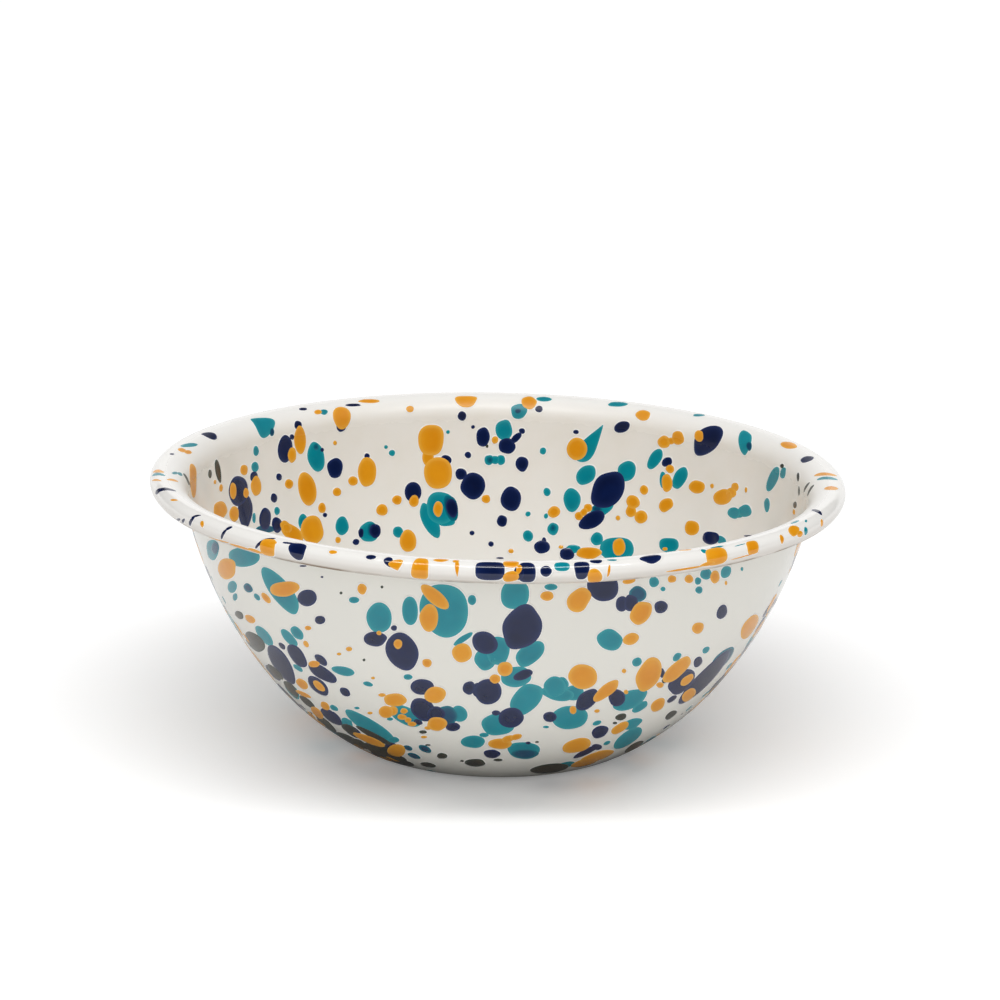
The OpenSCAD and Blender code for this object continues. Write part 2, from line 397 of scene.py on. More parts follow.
print("facets on the roll are up to", round(facet_gap((LIP_TOP + ROLL_END) / 2, RING_GAP), 2), "mm long")

# %% The body of a drop
SUNK = 0.06
EDGE_W, EDGE_SHARE = 0.25, 0.5
POOL_POWER = 6
LIP_EDGE = 0.5


def side_of(s):
    """Which face of the bowl a place on the path belongs to."""
    if s < LIP_TOP - LIP_EDGE:
        return "inside"
    return "rim" if s < OUTSIDE_START else "outside"


def add_lens(heap, s, turn, points, lift, low_s, high_s, hole=0.0):
    """Adds a thin closed lens that follows the skin to a heap of vertices, faces and pool values.

    A hole, as a share of the lens's width, makes it a ring."""
    place, _ = skin_at(s)
    size = max(p.length for p in points) * (1 - hole)
    spread = max(abs(p.x) for p in points)
    rings = max(math.ceil(size / RING_GAP), math.ceil(spread * (1 - hole) / facet_gap(s, spread)))
    inner = 1 - min(EDGE_SHARE, EDGE_W * (1 - hole) / size)
    shares = [hole + (inner - hole) * k / rings for k in range(0 if hole else 1, rings + 1)]
    vertices, faces, pool = heap

    def put(u, v, height, value=0.0):
        vertices.append(on_skin(min(max(s + u, low_s), high_s), turn + v / place.x, height))
        pool.append(value)
        return len(vertices) - 1

    def put_ring(share, height, value=0.0):
        return [put(p.x * share, p.y * share, height, value) for p in points]

    upper = [put_ring(share, lift, 1 - (share / inner) ** POOL_POWER) for share in shares]
    edge = put_ring(1.0, 0.0)
    lower = [put_ring(share, -SUNK) for share in shares]
    if not hole:
        top, bottom = put(0, 0, lift, 1.0), put(0, 0, -SUNK)
    for k in range(len(points)):
        n = (k + 1) % len(points)
        if hole:
            faces.append((upper[0][k], upper[0][n], lower[0][n], lower[0][k]))
        else:
            faces.append((top, upper[0][k], upper[0][n]))
            faces.append((bottom, lower[0][n], lower[0][k]))
        for near, far in zip(upper, upper[1:]):
            faces.append((near[k], far[k], far[n], near[n]))
        for near, far in zip(lower, lower[1:]):
            faces.append((near[k], near[n], far[n], far[k]))
        faces.append((upper[-1][k], edge[k], edge[n], upper[-1][n]))
        faces.append((lower[-1][k], lower[-1][n], edge[n], edge[k]))


# %% [markdown]
# Round all but the smallest drops the cream is a little paler, where a thin film has melted out from
# under the drop.
#
# This halo is a lens of the same outline, grown by a fraction of a millimetre and lying lower. What is
# under the drop is never seen, so the halo is only a ring. Each colour lies at a height of its own, in
# the order in which the colours cover each other in the photograph.
# %% A drop and its pale halo
DROP_LIFT = {
    "halo": 0.012, "teal": 0.028, "deep teal": 0.035, "navy": 0.042, "moss": 0.049, "mustard": 0.056}
LIFT_SPREAD = 0.005
HALO_W = 0.4
HALO_UNDER = 0.5
HALO_FROM = 1.2

heaps = {}
drop_count = {}


def limits(s):
    """The stretch of the path that a drop at s may cover. None covers the ring that touches the table."""
    if s < OUTSIDE_START:
        return 0.0, ROLL_END
    return (OUTSIDE_START, RING_START) if s < RING_START else (RING_STOP, SKIN_END)


def add_drop(colour, s, turn, points, rng):
    """Adds a drop of a colour, and the pale halo that melts out round all but the smallest."""
    size = max(p.length for p in points)
    side = side_of(s)
    low_s, high_s = limits(s)
    lift = DROP_LIFT[colour] + rng.uniform(0, LIFT_SPREAD)
    heap = heaps.setdefault((colour, side), ([], [], []))
    add_lens(heap, s, turn, points, lift, low_s, high_s)
    if size > HALO_FROM:
        heap = heaps.setdefault(("halo", side), ([], [], []))
        grown = [p * (1 + HALO_W / p.length) for p in points]
        halo_lift = DROP_LIFT["halo"] + rng.uniform(0, LIFT_SPREAD)
        narrow = min(p.length for p in points)
        hole = max(0, (narrow - HALO_UNDER) / (narrow + HALO_W))
        add_lens(heap, s, turn, grown, halo_lift, low_s, high_s, hole)
    drop_count[(colour, side)] = drop_count.get((colour, side), 0) + 1


print("colours from low to high:", list(DROP_LIFT))

# %% [markdown]
# The drops that the photograph shows are listed one by one: each is written as the pixel at its middle,
# its width and height in pixels, and, where it has them, its tilt in degrees clockwise, its taper, and
# how square its corners are.
#
# A ray from the camera through that pixel finds the place on the skin. How a step of one millimetre
# on the skin moves the pixel gives a small matrix, and its inverse turns the drop's width and height
# in the photograph into real half axes on the bowl, so that a drop at the edge, which looks narrow,
# comes out as wide as it really is.
# %% Drops seen inside, by colour
SEEN_INSIDE = {"teal": [
    (262, 424, 27, 16, 30, -0.8), (256, 451, 6, 11), (255, 467, 8, 11), (254, 518, 4, 11),
    (303, 522, 10, 17), (316, 457, 17, 31, 170), (277, 511, 6, 9), (342, 526, 14, 19), (369, 532, 20, 22),
    (398, 532, 11, 12), (441, 508, 31, 33), (430, 521, 38, 15, 64), (446, 521, 18, 12), (392, 453, 7, 7),
    (386, 447, 4, 4), (448, 432, 4, 4), (504, 430, 17, 22), (519, 411, 17, 16), (543, 451, 7, 8),
    (489, 460, 10, 11), (495, 460, 10, 9), (501, 460, 9, 11), (528, 514, 6, 6), (546, 516, 5, 6),
    (547, 492, 8, 9), (528, 536, 11, 12), (553, 529, 12, 13), (591, 443, 44, 15, -56, 0.75),
    (586, 475, 24, 17, -50), (572, 500, 18, 24), (627, 471, 22, 18, -60), (602, 509, 27, 14, -32),
    (597, 539, 13, 14), (617, 549, 34, 24, 0, 0, 0.15), (573, 549, 16, 9), (655, 459, 24, 12, -58),
    (680, 478, 25, 13, -62), (669, 545, 20, 15, 0, 0, 0.15), (721, 540, 12, 8, 30), (663, 480, 7, 18),
    (734, 513, 13, 12), (745, 511, 14, 13), (739, 514, 12, 8), (745, 441, 14, 24, 0, 0.3),
    (773, 479, 27, 10, -68), (783, 473, 12, 6, -80), (767, 505, 6, 15)
], "deep teal": [
    (451, 508, 14, 28, -15), (265, 529, 19, 8), (518, 411, 8, 6), (553, 528, 7, 8), (490, 460, 7, 8),
    (316, 447, 6, 8), (372, 530, 10, 16), (749, 446, 6, 10), (272, 432, 5, 9), (597, 509, 12, 8)
], "navy": [
    (254, 477, 8, 12), (238, 491, 20, 30), (245, 511, 15, 34), (265, 519, 12, 23), (277, 525, 11, 16),
    (298, 425, 8, 9), (285, 449, 15, 28), (335, 468, 16, 21), (279, 477, 6, 8), (274, 498, 7, 10),
    (325, 515, 5, 5), (341, 427, 10, 10), (292, 437, 5, 6), (322, 450, 4, 5), (367, 456, 6, 6),
    (375, 531, 12, 15), (361, 533, 6, 10), (356, 542, 7, 7), (413, 492, 17, 21), (446, 460, 12, 10, 30),
    (452, 508, 12, 20, -10), (473, 486, 26, 26), (461, 474, 12, 12), (462, 416, 9, 10), (468, 455, 7, 7),
    (473, 427, 4, 4), (472, 533, 5, 5), (491, 544, 6, 6), (483, 437, 14, 20), (507, 446, 18, 16),
    (516, 438, 15, 7, -45), (522, 431, 7, 6), (539, 409, 8, 7), (576, 432, 6, 5), (522, 464, 13, 16),
    (511, 499, 21, 25), (502, 521, 11, 12), (542, 547, 16, 14), (544, 541, 5, 8), (622, 427, 16, 12, -20),
    (608, 490, 41, 31, -58), (592, 520, 29, 16, -27), (567, 554, 15, 13), (667, 462, 12, 9, -30),
    (707, 440, 36, 24, -50, -0.1), (711, 538, 17, 14)
], "moss": [
    (210, 474, 4, 9), (218, 471, 23, 6, 80), (187, 479, 14, 2, 65), (190, 485, 10, 1, 70),
    (798, 477, 3, 9), (799, 491, 2, 10), (806, 487, 12, 2, -60), (810, 490, 14, 2, -60), (795, 505, 4, 7),
    (782, 466, 4, 5), (487, 446, 3, 4)
], "mustard": [
    (193, 481, 7, 34), (221, 488, 4, 8), (215, 482, 3, 5), (244, 470, 8, 11), (256, 486, 11, 20),
    (233, 491, 7, 18), (246, 493, 6, 11), (234, 514, 10, 16), (220, 510, 14, 18), (286, 527, 10, 15, -40),
    (292, 533, 26, 15, 38), (312, 530, 24, 28), (300, 440, 12, 29), (292, 455, 9, 16), (289, 484, 9, 10),
    (307, 489, 33, 19, 77), (337, 492, 9, 9), (322, 508, 8, 11), (338, 540, 6, 7), (342, 417, 18, 24),
    (335, 443, 4, 5), (367, 472, 19, 30), (353, 481, 10, 10), (382, 510, 12, 12), (397, 500, 10, 10),
    (414, 501, 10, 13), (408, 541, 17, 23), (438, 509, 10, 16), (431, 440, 26, 31, 0, 0, 0.2),
    (428, 457, 12, 18, 10), (438, 473, 29, 33), (486, 499, 9, 9), (495, 440, 7, 8), (529, 402, 16, 13),
    (511, 551, 6, 5), (554, 512, 13, 12), (561, 547, 5, 4), (577, 449, 21, 23), (579, 516, 9, 9),
    (588, 508, 9, 9), (584, 512, 10, 7, -45), (618, 518, 5, 5), (619, 547, 13, 18, 0, 0, 0.1),
    (589, 553, 26, 12), (633, 502, 14, 14), (631, 511, 11, 13), (641, 517, 14, 13), (644, 490, 9, 10),
    (664, 442, 13, 13), (678, 438, 13, 14), (671, 441, 9, 7), (670, 469, 9, 9), (667, 483, 11, 19),
    (666, 505, 16, 13, -40), (697, 487, 16, 14), (712, 486, 4, 5), (723, 497, 21, 15, -15),
    (735, 487, 8, 9), (731, 493, 11, 11), (746, 490, 3, 6), (692, 528, 15, 15, 0, 0, 0.1),
    (699, 436, 10, 12), (794, 512, 3, 6), (665, 549, 6, 4)
]}

# %% Drops seen on the rolled rim, by colour
SEEN_RIM = {"teal": [
    (189, 445, 18, 4, -5), (158, 474, 14, 3), (175, 473, 6, 3), (324, 412, 8, 6), (544, 399, 16, 5),
    (618, 404, 21, 5), (699, 415, 12, 3), (562, 566, 16, 10, 0, 0, 0.2), (612, 560, 11, 2),
    (704, 551, 8, 4, 20), (717, 547, 14, 2, -10), (740, 545, 12, 1, -15), (795, 522, 10, 2, -20),
    (806, 531, 4, 9), (827, 478, 22, 3), (806, 521, 3, 3), (180, 474, 6, 3, 30)
], "navy": [
    (209, 435, 17, 6, 12, -0.5), (166, 489, 20, 3, 1), (158, 491, 9, 4, -45), (178, 520, 4, 3),
    (183, 521, 3, 5, 20), (191, 521, 13, 3, -62), (196, 516, 11, 2, -15), (223, 534, 13, 3, -62),
    (229, 528, 8, 3, -25), (259, 544, 14, 3, -45), (269, 539, 14, 2, -8), (297, 551, 19, 17, 90, 0.3, 0.2),
    (288, 543, 12, 2, 5), (371, 557, 11, 5), (389, 562, 12, 9, 60, 0.4), (490, 570, 30, 22, 0, 0, 0.35),
    (527, 572, 18, 25, 0, 0, 0.25), (519, 573, 10, 16), (546, 571, 12, 12),
    (582, 570, 21, 15, 90, 0.25, 0.3), (596, 561, 13, 4, 0, 0, 0.2), (650, 558, 21, 9, -3, -0.4),
    (303, 409, 9, 3), (807, 459, 14, 6, -15), (817, 511, 12, 3, 20), (749, 536, 11, 2), (353, 405, 16, 3),
    (172, 454, 5, 2), (500, 558, 9, 2)
], "mustard": [
    (182, 450, 9, 4, 12), (188, 452, 8, 4, 8), (158, 471, 12, 3), (156, 480, 10, 2), (173, 480, 12, 2, 12),
    (174, 500, 8, 2), (202, 524, 4, 7), (218, 540, 22, 1, 16), (240, 547, 24, 2, 17),
    (255, 551, 16, 3, 18), (267, 548, 15, 21, 0, 0, 0.3), (272, 543, 10, 5, -10), (333, 552, 9, 4),
    (396, 565, 12, 13, 75, 0.7), (420, 568, 27, 17, 97, -0.15, 0.35), (457, 568, 18, 4, 90, 0.5),
    (456, 561, 7, 3), (441, 560, 16, 3), (511, 563, 16, 7, 0, 0, 0.2), (519, 569, 6, 11, 15),
    (511, 577, 17, 11, -14, 0, 0.2), (595, 578, 15, 16, 0, 0, 0.1), (609, 571, 3, 13, 8),
    (717, 556, 22, 20, -12, 0, 0.3), (685, 569, 40, 2, -9), (708, 564, 16, 4, -12), (745, 556, 30, 1, -16),
    (685, 550, 14, 1, -4), (753, 547, 12, 15, -10, 0, 0.35), (782, 539, 4, 10, -10),
    (794, 530, 11, 11, 30, 0, 0.2), (800, 534, 6, 7, 10), (822, 523, 3, 8), (825, 474, 24, 3),
    (831, 488, 14, 4), (789, 445, 17, 7, 8), (643, 415, 15, 11), (466, 401, 12, 21, 90, 0.3, 0.2),
    (410, 409, 8, 7), (318, 412, 8, 5), (369, 401, 22, 4)
]}

# %% Drops seen outside, by colour
SEEN_OUTSIDE = {"teal": [
    (243, 557, 31, 21), (212, 550, 12, 22), (280, 591, 58, 20, 54), (232, 587, 10, 12), (235, 597, 5, 8),
    (257, 597, 9, 5, 50), (354, 600, 11, 7), (379, 618, 31, 26, 75), (297, 633, 17, 10, 45),
    (289, 638, 24, 9, 45), (343, 671, 25, 9, 12), (368, 684, 11, 5, 15), (334, 708, 10, 5, 30),
    (357, 708, 6, 3), (390, 719, 7, 4), (371, 728, 61, 14, 33), (347, 723, 14, 8, 40),
    (264, 636, 26, 10, 52), (298, 668, 12, 5, 35), (292, 691, 22, 8, 47), (346, 723, 12, 8),
    (410, 611, 17, 29), (444, 611, 56, 48, 62), (472, 600, 9, 11), (515, 595, 29, 29, 0, 0, 0.2),
    (530, 654, 34, 20, -38), (551, 587, 14, 7), (408, 677, 10, 6), (463, 639, 25, 6, -33),
    (485, 660, 22, 21), (498, 651, 23, 31), (516, 677, 31, 22), (406, 716, 36, 18, 25), (459, 714, 17, 17),
    (498, 725, 33, 23), (526, 700, 39, 25, -46), (555, 687, 23, 21), (473, 742, 25, 13), (484, 735, 10, 5),
    (524, 751, 32, 18), (570, 718, 37, 24), (558, 694, 34, 14, 8), (566, 765, 20, 6, -10),
    (546, 727, 7, 3), (393, 740, 12, 7), (654, 582, 11, 11), (663, 589, 6, 5), (698, 581, 7, 8),
    (699, 590, 8, 8), (706, 574, 12, 12), (726, 572, 14, 10, -60), (742, 569, 3, 4),
    (610, 640, 27, 21, 10), (706, 650, 9, 6, -45), (677, 657, 11, 7, -45), (637, 662, 11, 9, -35),
    (574, 693, 20, 16), (562, 684, 14, 14), (630, 700, 38, 18, -25), (640, 707, 19, 8, -32),
    (597, 723, 10, 5, -20), (632, 724, 22, 10, -20), (628, 739, 34, 13, -33), (607, 743, 8, 4, -25)
], "deep teal": [
    (525, 754, 28, 10), (425, 749, 14, 7, 25), (408, 748, 10, 5, 20), (414, 756, 14, 5, 20),
    (447, 716, 21, 21), (638, 594, 18, 16, 20), (248, 588, 11, 8, 50), (215, 548, 8, 14),
    (722, 660, 34, 12, -47), (376, 639, 10, 7)
], "navy": [
    (307, 598, 20, 17), (320, 620, 11, 9), (375, 639, 24, 15), (394, 628, 7, 6), (282, 646, 9, 5, 45),
    (297, 656, 29, 13, 50), (281, 665, 46, 16, 57), (321, 660, 16, 8, 40), (322, 673, 32, 13, 33),
    (318, 686, 26, 13, 42), (345, 692, 12, 8, 42), (273, 673, 22, 6, 45), (331, 717, 25, 10, 38),
    (353, 732, 20, 9, 33), (374, 743, 30, 6, 22), (392, 748, 16, 10, 25), (334, 717, 16, 8, 38),
    (322, 577, 3, 2), (303, 566, 8, 2), (522, 628, 48, 37, -52), (402, 652, 40, 31, 58),
    (485, 643, 28, 22, 30), (523, 675, 21, 10, -20), (469, 688, 13, 14), (477, 690, 10, 15),
    (488, 692, 28, 26), (422, 687, 23, 17), (423, 710, 27, 22, 30), (436, 714, 18, 16), (453, 727, 15, 9),
    (418, 722, 10, 6, 20), (511, 718, 27, 20), (496, 713, 9, 6), (492, 754, 17, 9), (550, 717, 14, 11),
    (528, 743, 6, 3), (603, 586, 32, 32), (622, 604, 13, 16), (631, 603, 14, 18, 20),
    (661, 607, 14, 13, -20), (722, 612, 16, 10, -65), (698, 662, 12, 8, -55), (682, 682, 32, 19, -40),
    (662, 673, 6, 10), (705, 679, 72, 14, -46), (672, 699, 12, 5, -35), (587, 700, 27, 17, -40),
    (617, 698, 18, 17), (600, 732, 18, 12, -25), (586, 752, 28, 6, -25), (597, 747, 11, 6)
], "moss": [
    (239, 615, 10, 7, 40), (254, 642, 26, 13, 50), (249, 619, 9, 6, 50), (275, 672, 22, 6, 45),
    (291, 689, 22, 7, 48), (307, 702, 20, 6, 40), (374, 736, 40, 6, 27), (350, 730, 20, 8, 35),
    (326, 724, 26, 6, 40), (350, 741, 34, 6, 30), (360, 744, 20, 6, 28), (386, 755, 40, 8, 18),
    (381, 751, 38, 10, 20), (400, 762, 30, 5, 15), (498, 760, 10, 3), (475, 763, 21, 8), (462, 761, 4, 2),
    (423, 732, 8, 4), (428, 745, 6, 2), (442, 756, 11, 6), (428, 765, 16, 5, 10), (550, 769, 40, 9, -8),
    (537, 742, 4, 2), (664, 681, 5, 5), (671, 715, 14, 6, -38), (621, 717, 12, 7, -15), (615, 723, 5, 3),
    (634, 747, 22, 5, -30), (341, 593, 3, 3), (382, 587, 3, 3), (364, 660, 3, 3)
], "mustard": [
    (226, 569, 19, 21), (284, 589, 29, 16, -6), (266, 598, 14, 6, 50), (362, 589, 10, 11),
    (379, 633, 6, 5), (308, 628, 7, 5), (306, 644, 8, 5, 60), (314, 664, 12, 7), (302, 684, 15, 8, 42),
    (319, 686, 16, 7, 42), (349, 649, 7, 5), (339, 654, 5, 3), (373, 678, 4, 3), (382, 695, 8, 4),
    (395, 700, 24, 13), (386, 712, 16, 12), (325, 706, 11, 7, 40), (370, 713, 6, 3), (250, 619, 12, 7, 35),
    (369, 740, 36, 7, 21), (303, 694, 18, 4, 25), (317, 713, 17, 7, 45), (435, 597, 36, 14, 38),
    (429, 618, 20, 27), (547, 596, 14, 10), (398, 644, 9, 11), (427, 663, 10, 9), (462, 653, 21, 19),
    (505, 669, 16, 15), (495, 679, 11, 10), (435, 695, 22, 17), (392, 711, 12, 10), (404, 711, 8, 6),
    (402, 717, 10, 6), (408, 720, 7, 6), (412, 724, 10, 5), (437, 724, 21, 14), (428, 728, 8, 4),
    (500, 744, 24, 11), (508, 739, 14, 7, -15), (516, 737, 13, 6, -15), (424, 737, 7, 3),
    (396, 751, 18, 13), (579, 600, 28, 21, -45), (629, 581, 14, 6, -10), (672, 579, 9, 8),
    (689, 579, 9, 9), (715, 577, 10, 13), (726, 583, 3, 5), (641, 613, 27, 19, -50),
    (698, 628, 13, 11, -50), (631, 639, 17, 12, -25), (750, 627, 28, 12, -55), (624, 671, 5, 5),
    (583, 677, 30, 25), (649, 675, 36, 23, -60), (677, 670, 37, 14, -42), (687, 680, 17, 8, -38),
    (660, 685, 8, 6), (689, 695, 17, 10, -45), (658, 705, 17, 11, -40), (606, 691, 32, 12, -38),
    (626, 692, 5, 5), (597, 711, 6, 4), (573, 710, 7, 9), (620, 728, 20, 9, -30), (577, 746, 30, 14, -15),
    (597, 757, 36, 9, -18), (585, 763, 28, 7, -14)
]}

# %% Lay the photographed drops on the skin
STEP_MM = 0.5
SEEN_SEED = 11

seen_rng = random.Random(SEEN_SEED)


def place_of_pixel(x, y):
    """Distance along the path and turn about the axis of the skin seen at a pixel."""
    hit, _, face, _ = skin_tree.ray_cast(camera_place, pixel_ray(x, y))
    if hit is None:
        return None
    ring = max(0, (face - TURN_STEPS) // TURN_STEPS) + 1
    start, stretch = path[ring], path[min(ring + 1, len(path) - 1)] - path[ring]
    here = Vector((math.hypot(hit.x, hit.y), hit.z)) / MM - start
    share = min(max(here.dot(stretch) / max(stretch.length_squared, TINY), 0), 1)
    return reach[ring] + share * stretch.length, math.atan2(hit.y, hit.x)


def half_axes(s, turn, width, height, tilt):
    """Half axes on the skin, in mm, of an ellipse given in pixels of the photograph."""
    radius = skin_at(s)[0].x
    along = pixel_of(on_skin(s + STEP_MM, turn)) - pixel_of(on_skin(s - STEP_MM, turn))
    around = pixel_of(on_skin(s, turn + STEP_MM / radius)) - pixel_of(on_skin(s, turn - STEP_MM / radius))
    to_skin = Matrix(((along.x, around.x), (along.y, around.y))).inverted() * (2 * STEP_MM)
    t = math.radians(tilt)
    half_a = to_skin @ Vector((math.cos(t), math.sin(t))) * width / 2
    half_b = to_skin @ Vector((-math.sin(t), math.cos(t))) * height / 2
    # The outline has to turn anticlockwise seen from outside the skin
    return (half_a, half_b) if half_a.cross(half_b) > 0 else (half_a, -half_b)


missed = 0
for table in (SEEN_INSIDE, SEEN_RIM, SEEN_OUTSIDE):
    for colour, drops in table.items():
        for x, y, width, height, *shape in drops:
            tilt, taper, corner = (shape + [0, 0, 0])[:3]
            found = place_of_pixel(x, y)
            if found is None:
                missed += 1
                continue
            half_a, half_b = half_axes(*found, width, height, tilt)
            points = outline(found[0], half_a, half_b, taper, corner, seen_rng)
            add_drop(colour, *found, points, seen_rng)
print("photographed drops:", sum(drop_count.values()), "off the bowl:", missed)

# %% [markdown]
# The rest of the bowl, which the photograph hides, is splattered by a seeded random hand.
#
# Real splatter is far from even. Most drops are small, a few are large, and a brush throws several at
# once. So nearly half of the drops land beside an earlier one, in another colour. Most are a little
# longer up the wall than around it, as in the photograph. A drop of which the camera would see any part
# is skipped, so that side stays as it was laid out. Only at the left and right edges of the outside,
# which the camera grazes, the photograph is too narrow to read drops from, and random ones fill in.
# %% What the camera sees
SEEN_MARGIN = 0.2
GRAZING = math.sin(math.radians(10))


def is_seen(s, turn):
    """Whether the camera sees this place on the skin. Outside, a grazing sight of it doesn't count."""
    point = on_skin(s, turn, SEEN_MARGIN)
    way = point - camera_place
    away = (on_skin(s, turn, 1.0) - on_skin(s, turn)).normalized()
    if s > OUTSIDE_START and -way.normalized().dot(away) < GRAZING:
        return False
    hit, _, _, _ = skin_tree.ray_cast(camera_place, way.normalized(), way.length)
    return hit is None


def shows(s, turn, points):
    """Whether the camera sees any of a drop."""
    radius = skin_at(s)[0].x
    places = [(s, turn)] + [(s + p.x, turn + p.y / radius) for p in points[::3]]
    return any(is_seen(*place) for place in places)


FRONT, BACK = math.radians(-90), math.radians(90)
print("front of the rim seen:", is_seen(LIP_TOP, FRONT), "underside at the back:", is_seen(ROLL_END, BACK))

# %% Random drops on the hidden side
HIDDEN_SEED = 29
INSIDE_R, OUTSIDE_R, RIM_R = 2.3, 2.6, 1.6
SIZE_SPREAD = 0.6
SMALLEST_R, LARGEST_R, RIM_LARGEST_R = 0.4, 8.5, 3.0
BESIDE_SHARE, BESIDE_SIZE = 0.45, 0.7
BESIDE_NEAR, BESIDE_FAR = 0.4, 1.6
LEAN_SPREAD, FLATTEST = 0.6, 0.6
MOST_TAPER, MOST_SQUARE = 0.3, 0.15
COLOURS = ("teal", "navy", "mustard")
COLOUR_SHARES = (4, 4, 3)
COVERED_INSIDE, COVERED_OUTSIDE, COVERED_RIM = 0.42, 0.54, 0.4
SEAM_CLEAR = 1.0

rng = random.Random(HIDDEN_SEED)


def stretch_area(low_s, high_s):
    """Area in square mm between two places on the path."""
    parts = 60
    step = (high_s - low_s) / parts
    return sum(2 * math.pi * skin_at(low_s + (i + 0.5) * step)[0].x * step for i in range(parts))


def random_place(low_s, high_s):
    """A place that is as likely on every square mm between two places on the path."""
    while True:
        s = rng.uniform(low_s, high_s)
        if rng.uniform(0, rim_r) < skin_at(s)[0].x:
            return s, rng.uniform(0, 2 * math.pi)


def splatter(low_s, high_s, covered, middling, largest):
    """Covers a share of the hidden skin between two places on the path with drops."""
    wanted = covered * stretch_area(low_s, high_s)
    first_ones = []
    while wanted > 0:
        size = min(largest, max(SMALLEST_R, rng.lognormvariate(math.log(middling), SIZE_SPREAD)))
        beside = bool(first_ones) and rng.random() < BESIDE_SHARE
        if beside:
            s, turn, old_size, old_colour = rng.choice(first_ones)
            size *= BESIDE_SIZE
            way = rng.uniform(0, 2 * math.pi)
            step = old_size + size * rng.uniform(BESIDE_NEAR, BESIDE_FAR)
            turn += step * math.sin(way) / max(skin_at(s)[0].x, size)
            s = min(max(s + step * math.cos(way), low_s), high_s)
        else:
            s, turn = random_place(low_s, high_s)
            old_colour = None
        colour = old_colour
        while colour == old_colour:
            colour = rng.choices(COLOURS, COLOUR_SHARES)[0]
        way = rng.gauss(0, LEAN_SPREAD)
        flat = rng.uniform(FLATTEST, 1)
        wanted -= math.pi * size * size * flat
        if skin_at(s)[0].x < size or RING_START - size < s < RING_STOP + size:
            continue
        half_a = Vector((math.cos(way), math.sin(way))) * size
        half_b = Vector((-math.sin(way), math.cos(way))) * size * flat
        taper = rng.uniform(-MOST_TAPER, MOST_TAPER)
        corner = rng.uniform(0, MOST_SQUARE)
        points = outline(s, half_a, half_b, taper, corner, rng)
        if shows(s, turn, points):
            continue
        add_drop(colour, s, turn, points, rng)
        if not beside:
            first_ones.append((s, turn, size, colour))


splatter(0, LIP_TOP - RIM_R, COVERED_INSIDE, INSIDE_R, LARGEST_R)
splatter(OUTSIDE_START + SEAM_CLEAR, SKIN_END, COVERED_OUTSIDE, OUTSIDE_R, LARGEST_R)
splatter(LIP_TOP - RIM_R, ROLL_END - SEAM_CLEAR, COVERED_RIM, RIM_R, RIM_LARGEST_R)
print("all drops:", sum(drop_count.values()))

# %% Make one piece of each colour on each face
CAD_NODE = {"inside": "{}_drops_inside", "outside": "{}_drops_outside", "rim": "{}_rim_dashes"}
pieces = {}
for (colour, side), (vertices, faces, pool) in heaps.items():
    name = f"{colour.replace(' ', '_')}_splatter_{side}"
    if colour == "halo":
        name = f"pale_halos_{side}"
    piece = make_object(name, vertices, faces)
    values = piece.data.attributes.new("pool", "FLOAT", "POINT")
    values.data.foreach_set("value", pool)
    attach(piece, "root")
    if colour in COLOURS:
        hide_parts(CAD_NODE[side].format(colour))
    pieces[(colour, side)] = piece
    print(name, "faces", len(faces))

# %% [markdown]
# All the enamels share one look. The glass flows in the kiln, so its surface has slow, shallow waves,
# the colour drifts a little from place to place, and tiny pinholes and dust make the gloss uneven. On
# the bend to the lip the photograph shows no crisp highlight, so the gloss is softer there.
#
# That look is a node group, built once. It puts out a colour, a roughness and a height, and each
# material places it with its own colours and strengths. The shader itself stays in the material. The
# cell before it names the few kinds of node that all finishes are made of.
# %% Helpers for nodes
# The Mix node holds a set of sockets for each kind of value. These are the ones for colours.
MIX_SHARE, MIX_FIRST, MIX_SECOND, MIX_RESULT = 0, 6, 7, 2


def link(tree, start, end):
    """Links an output to an input, or sets the input to a plain value."""
    if isinstance(start, bpy.types.NodeSocket):
        tree.links.new(start, end)
    else:
        end.default_value = start


def noise(tree, coords, scale, detail):
    """Soft random values from 0 to 1, in scale lumps to a metre and with finer lumps in them."""
    node = tree.nodes.new("ShaderNodeTexNoise")
    node.inputs["Scale"].default_value = scale
    node.inputs["Detail"].default_value = detail
    link(tree, coords, node.inputs["Vector"])
    return node.outputs["Fac"]


def remap(tree, value, low, high, to_low=0.0, to_high=1.0):
    """Carries a range of values over to another range, and holds them at its ends."""
    node = tree.nodes.new("ShaderNodeMapRange")
    for name, number in (("From Min", low), ("From Max", high), ("To Min", to_low), ("To Max", to_high)):
        node.inputs[name].default_value = number
    link(tree, value, node.inputs["Value"])
    return node.outputs["Result"]


def mix_colour(tree, share, first, second):
    """The first colour where the share is 0, the second where it is 1."""
    node = tree.nodes.new("ShaderNodeMix")
    node.data_type = "RGBA"
    for place, value in ((MIX_SHARE, share), (MIX_FIRST, first), (MIX_SECOND, second)):
        link(tree, value, node.inputs[place])
    return node.outputs[MIX_RESULT]


def attribute(tree, name):
    """A value that the mesh carries at its vertices."""
    node = tree.nodes.new("ShaderNodeAttribute")
    node.attribute_name = name
    return node.outputs["Fac"]


def object_place(tree):
    """The place of the shaded point, in metres from the object's origin."""
    return tree.nodes.new("ShaderNodeTexCoord").outputs["Object"]


def height_of(tree, place):
    parts = tree.nodes.new("ShaderNodeSeparateXYZ")
    link(tree, place, parts.inputs[0])
    return parts.outputs["Z"]


def distance_from_axis(tree, place):
    level = tree.nodes.new("ShaderNodeVectorMath")
    level.operation = "MULTIPLY"
    level.inputs[1].default_value = (1, 1, 0)
    link(tree, place, level.inputs[0])
    length = tree.nodes.new("ShaderNodeVectorMath")
    length.operation = "LENGTH"
    link(tree, level.outputs[0], length.inputs[0])
    return length.outputs["Value"]


